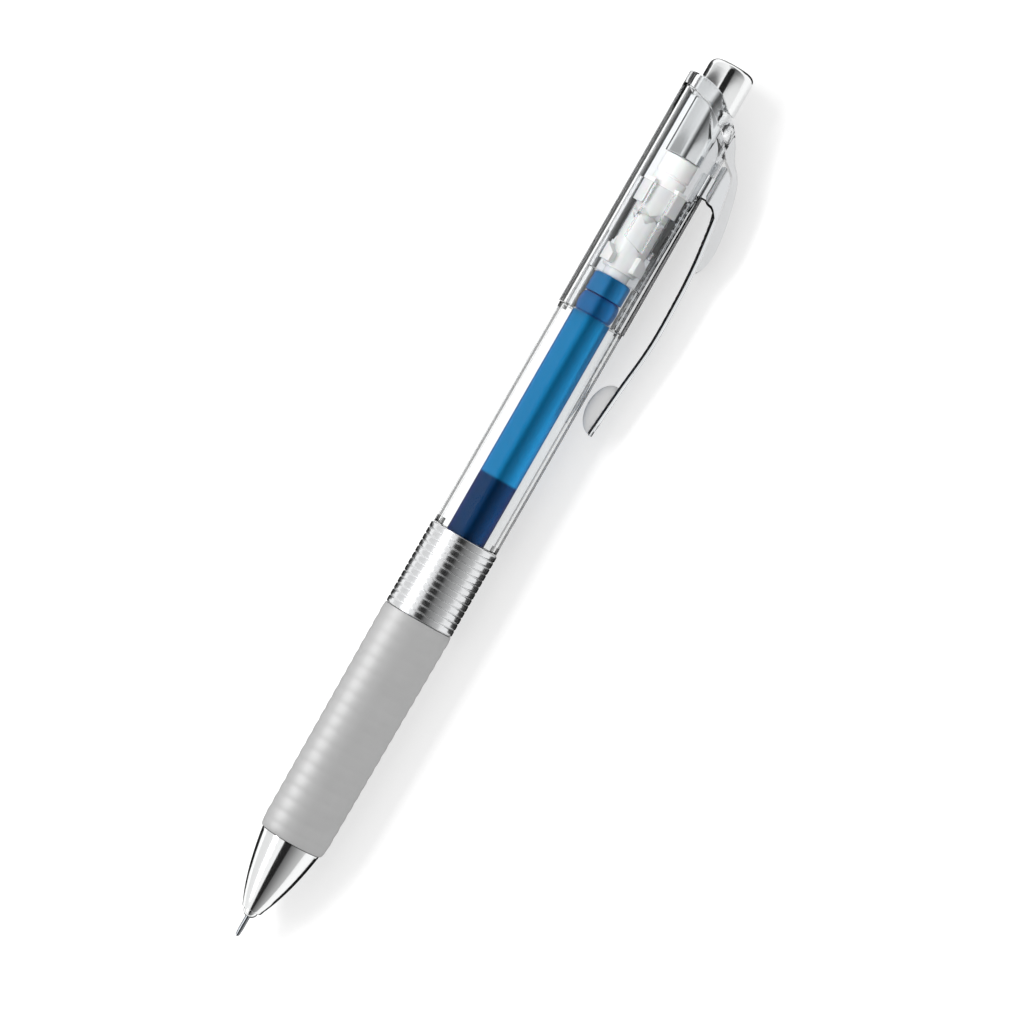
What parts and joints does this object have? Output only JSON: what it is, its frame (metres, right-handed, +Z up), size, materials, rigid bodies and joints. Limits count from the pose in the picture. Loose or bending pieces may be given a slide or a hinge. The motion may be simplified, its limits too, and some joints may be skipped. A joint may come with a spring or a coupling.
{
  "type": "retractable gel pen",
  "caption": "Push-button gel pen with a needle tip, rubber grip, ribbed collar, clear rear barrel, tinted refill, metal clip and a rotating-cam latch.",
  "frame": {"origin": "on the table, under the middle of the pen's box", "axes": "+X from the writing tip to the push button, +Z up from the table, clip on the -Y side, rolled down until its cover touches the table"},
  "size_m": [0.144, 0.0164, 0.011],
  "materials": {
    "ball_carbide": "polished tungsten carbide",
    "needle_steel": "drawn stainless tube",
    "bright_plate": "bright chrome plate",
    "joint_plastic": "natural moulded plastic",
    "tinted_tube": "blue tinted extruded polypropylene",
    "ink": "dark blue gel ink",
    "follower": "clear follower grease",
    "plug_plastic": "blue moulded plastic",
    "spring_steel": "plated spring wire",
    "core_plastic": "clear moulded plastic",
    "grip_rubber": "matte light grey rubber with soft rings",
    "collar_plate": "satin chrome plate, ribbed",
    "clear_plastic": "water-clear polycarbonate",
    "clear_grey_plastic": "clear, faintly grey polycarbonate",
    "clip_steel": "pressed bright spring steel",
    "white_plastic": "white moulded acetal"
  },
  "bodies": {
    "barrel": {"grip_core": "core_plastic", "rubber_grip": "grip_rubber", "ribbed_collar": "collar_plate", "rear_barrel": "clear_plastic", "clip_housing": "clear_grey_plastic", "end_cap": "clear_grey_plastic", "clip_root": "clip_steel", "cam_sleeve": "white_plastic"},
    "nose": {"nose_cone": "bright_plate"},
    "refill": {"writing_ball": "ball_carbide", "needle_pipe": "needle_steel", "tip_holder": "bright_plate", "tip_joint": "joint_plastic", "refill_tube": "tinted_tube", "ink_column": "ink", "follower_gel": "follower", "tail_plug": "plug_plastic", "return_spring": "spring_steel"},
    "rotor": {"cam_rotor": "white_plastic"},
    "button": {"push_button": "bright_plate", "plunger": "white_plastic"},
    "clip": {"clip_arm": "clip_steel"}
  },
  "joints": [
    {"name": "button_press", "type": "slide", "parent": "barrel", "child": "button", "axis": [-1, 0, 0], "range_m": [-0.005, 0.0013], "stiffness_N_per_m": 200},
    {"name": "refill_slide", "type": "slide", "parent": "barrel", "child": "refill", "axis": [-1, 0, 0], "range_m": [-0.005, 0.0013], "deforming": ["return_spring"]},
    {"name": "cam_rotor_turn", "type": "hinge", "parent": "refill", "child": "rotor", "pos_m": [-0.03, 0.00274, 0.00549], "axis": [1, 0, 0], "continuous": true},
    {"name": "clip_flex", "type": "hinge", "parent": "barrel", "child": "clip", "pos_m": [0.04335, -0.00609, 0.00265], "axis": [0, -0.3065, 0.9519], "range_deg": [0, 6], "stiffness_Nm_per_rad": 0.4},
    {"name": "nose_cone_off", "type": "slide", "parent": "barrel", "child": "nose", "axis": [-1, 0, 0], "range_m": [0, 0.022]}
  ],
  "couplings": [
    {"joint": "refill_slide", "follows": "button_press", "ratio": 1}
  ]
}
